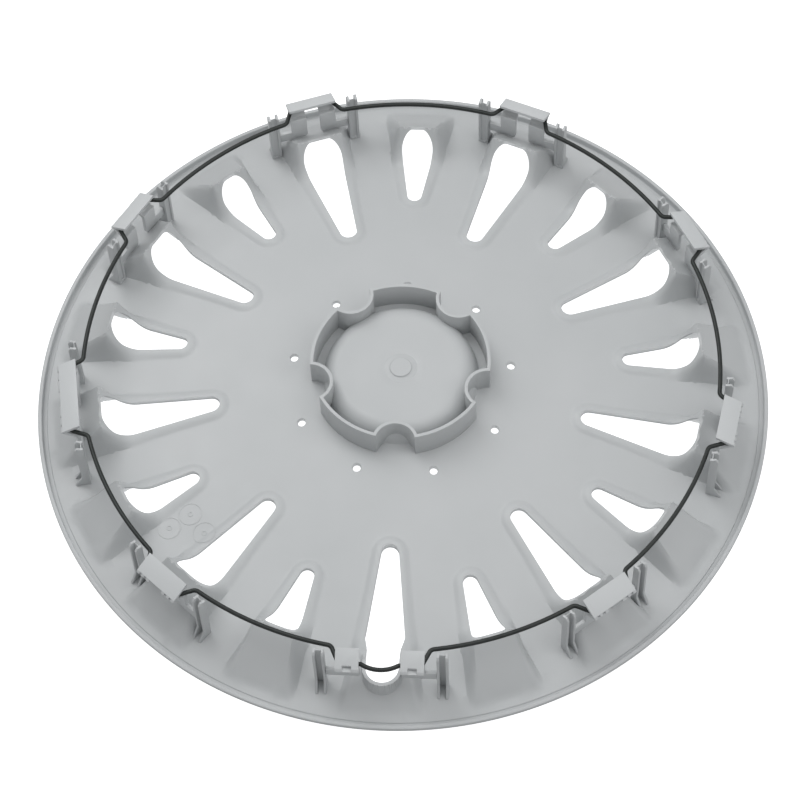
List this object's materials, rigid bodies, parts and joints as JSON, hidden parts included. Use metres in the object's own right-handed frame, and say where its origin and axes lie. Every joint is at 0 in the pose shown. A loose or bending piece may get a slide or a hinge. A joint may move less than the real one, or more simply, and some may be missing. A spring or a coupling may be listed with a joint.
{
  "type": "full wheel cover",
  "caption": "Round moulded wheel cover lying face down: slotted dish, scalloped hub wall, sprung snap clips between guide posts and a steel retaining wire.",
  "frame": {"origin": "on the wheel's axis, on the plane that the front rim rests on when the cover lies face down", "axes": "+Z along the wheel's axis towards the wheel, that is the back of the cover; -Y towards the tyre valve"},
  "size_m": [0.4, 0.4, 0.0449],
  "materials": {
    "cover_plastic": "satin",
    "clip_plastic": "satin",
    "steel_wire": "satin"
  },
  "bodies": {
    "cover": {"cover_disc": "cover_plastic", "hub_wall": "cover_plastic", "valve_guard": "cover_plastic", "guide_post_0a": "cover_plastic", "guide_post_0b": "cover_plastic", "guide_post_1a": "cover_plastic", "guide_post_1b": "cover_plastic", "guide_post_2a": "cover_plastic", "guide_post_2b": "cover_plastic", "guide_post_3a": "cover_plastic", "guide_post_3b": "cover_plastic", "guide_post_4a": "cover_plastic", "guide_post_4b": "cover_plastic", "guide_post_5a": "cover_plastic", "guide_post_5b": "cover_plastic", "guide_post_6a": "cover_plastic", "guide_post_6b": "cover_plastic", "guide_post_7a": "cover_plastic", "guide_post_7b": "cover_plastic", "guide_post_8a": "cover_plastic", "guide_post_8b": "cover_plastic", "retaining_wire": "steel_wire"},
    "clip_1_body": {"clip_1": "clip_plastic"},
    "clip_2_body": {"clip_2": "clip_plastic"},
    "clip_3_body": {"clip_3": "clip_plastic"},
    "clip_4_body": {"clip_4": "clip_plastic"},
    "clip_5_body": {"clip_5": "clip_plastic"},
    "clip_6_body": {"clip_6": "clip_plastic"},
    "clip_7_body": {"clip_7": "clip_plastic"},
    "clip_8_body": {"clip_8": "clip_plastic"},
    "valve_clip_a_body": {"valve_clip_a": "clip_plastic"},
    "valve_clip_b_body": {"valve_clip_b": "clip_plastic"}
  },
  "joints": [
    {"name": "clip_1_body_flex", "type": "hinge", "parent": "cover", "child": "clip_1_body", "pos_m": [0.11274, -0.13436, 0.02085], "axis": [-0.766, -0.6428, 0], "range_deg": [0, 8], "stiffness_Nm_per_rad": 2, "deforming": ["retaining_wire"]},
    {"name": "clip_2_body_flex", "type": "hinge", "parent": "cover", "child": "clip_2_body", "pos_m": [0.17273, -0.03046, 0.02085], "axis": [-0.1736, -0.9848, 0], "range_deg": [0, 8], "stiffness_Nm_per_rad": 2, "deforming": ["retaining_wire"]},
    {"name": "clip_3_body_flex", "type": "hinge", "parent": "cover", "child": "clip_3_body", "pos_m": [0.1519, 0.0877, 0.02085], "axis": [0.5, -0.866, 0], "range_deg": [0, 8], "stiffness_Nm_per_rad": 2, "deforming": ["retaining_wire"]},
    {"name": "clip_4_body_flex", "type": "hinge", "parent": "cover", "child": "clip_4_body", "pos_m": [0.05999, 0.16482, 0.02085], "axis": [0.9397, -0.342, 0], "range_deg": [0, 8], "stiffness_Nm_per_rad": 2, "deforming": ["retaining_wire"]},
    {"name": "clip_5_body_flex", "type": "hinge", "parent": "cover", "child": "clip_5_body", "pos_m": [-0.05999, 0.16482, 0.02085], "axis": [0.9397, 0.342, 0], "range_deg": [0, 8], "stiffness_Nm_per_rad": 2, "deforming": ["retaining_wire"]},
    {"name": "clip_6_body_flex", "type": "hinge", "parent": "cover", "child": "clip_6_body", "pos_m": [-0.1519, 0.0877, 0.02085], "axis": [0.5, 0.866, 0], "range_deg": [0, 8], "stiffness_Nm_per_rad": 2, "deforming": ["retaining_wire"]},
    {"name": "clip_7_body_flex", "type": "hinge", "parent": "cover", "child": "clip_7_body", "pos_m": [-0.17273, -0.03046, 0.02085], "axis": [-0.1736, 0.9848, 0], "range_deg": [0, 8], "stiffness_Nm_per_rad": 2, "deforming": ["retaining_wire"]},
    {"name": "clip_8_body_flex", "type": "hinge", "parent": "cover", "child": "clip_8_body", "pos_m": [-0.11274, -0.13436, 0.02085], "axis": [-0.766, 0.6428, 0], "range_deg": [0, 8], "stiffness_Nm_per_rad": 2, "deforming": ["retaining_wire"]},
    {"name": "valve_clip_a_body_flex", "type": "hinge", "parent": "cover", "child": "valve_clip_a_body", "pos_m": [0, -0.1754, 0.02085], "axis": [-1, 0, 0], "range_deg": [0, 8], "stiffness_Nm_per_rad": 2, "deforming": ["retaining_wire"]},
    {"name": "valve_clip_b_body_flex", "type": "hinge", "parent": "cover", "child": "valve_clip_b_body", "pos_m": [0, -0.1754, 0.02085], "axis": [-1, 0, 0], "range_deg": [0, 8], "stiffness_Nm_per_rad": 2, "deforming": ["retaining_wire"]}
  ]
}
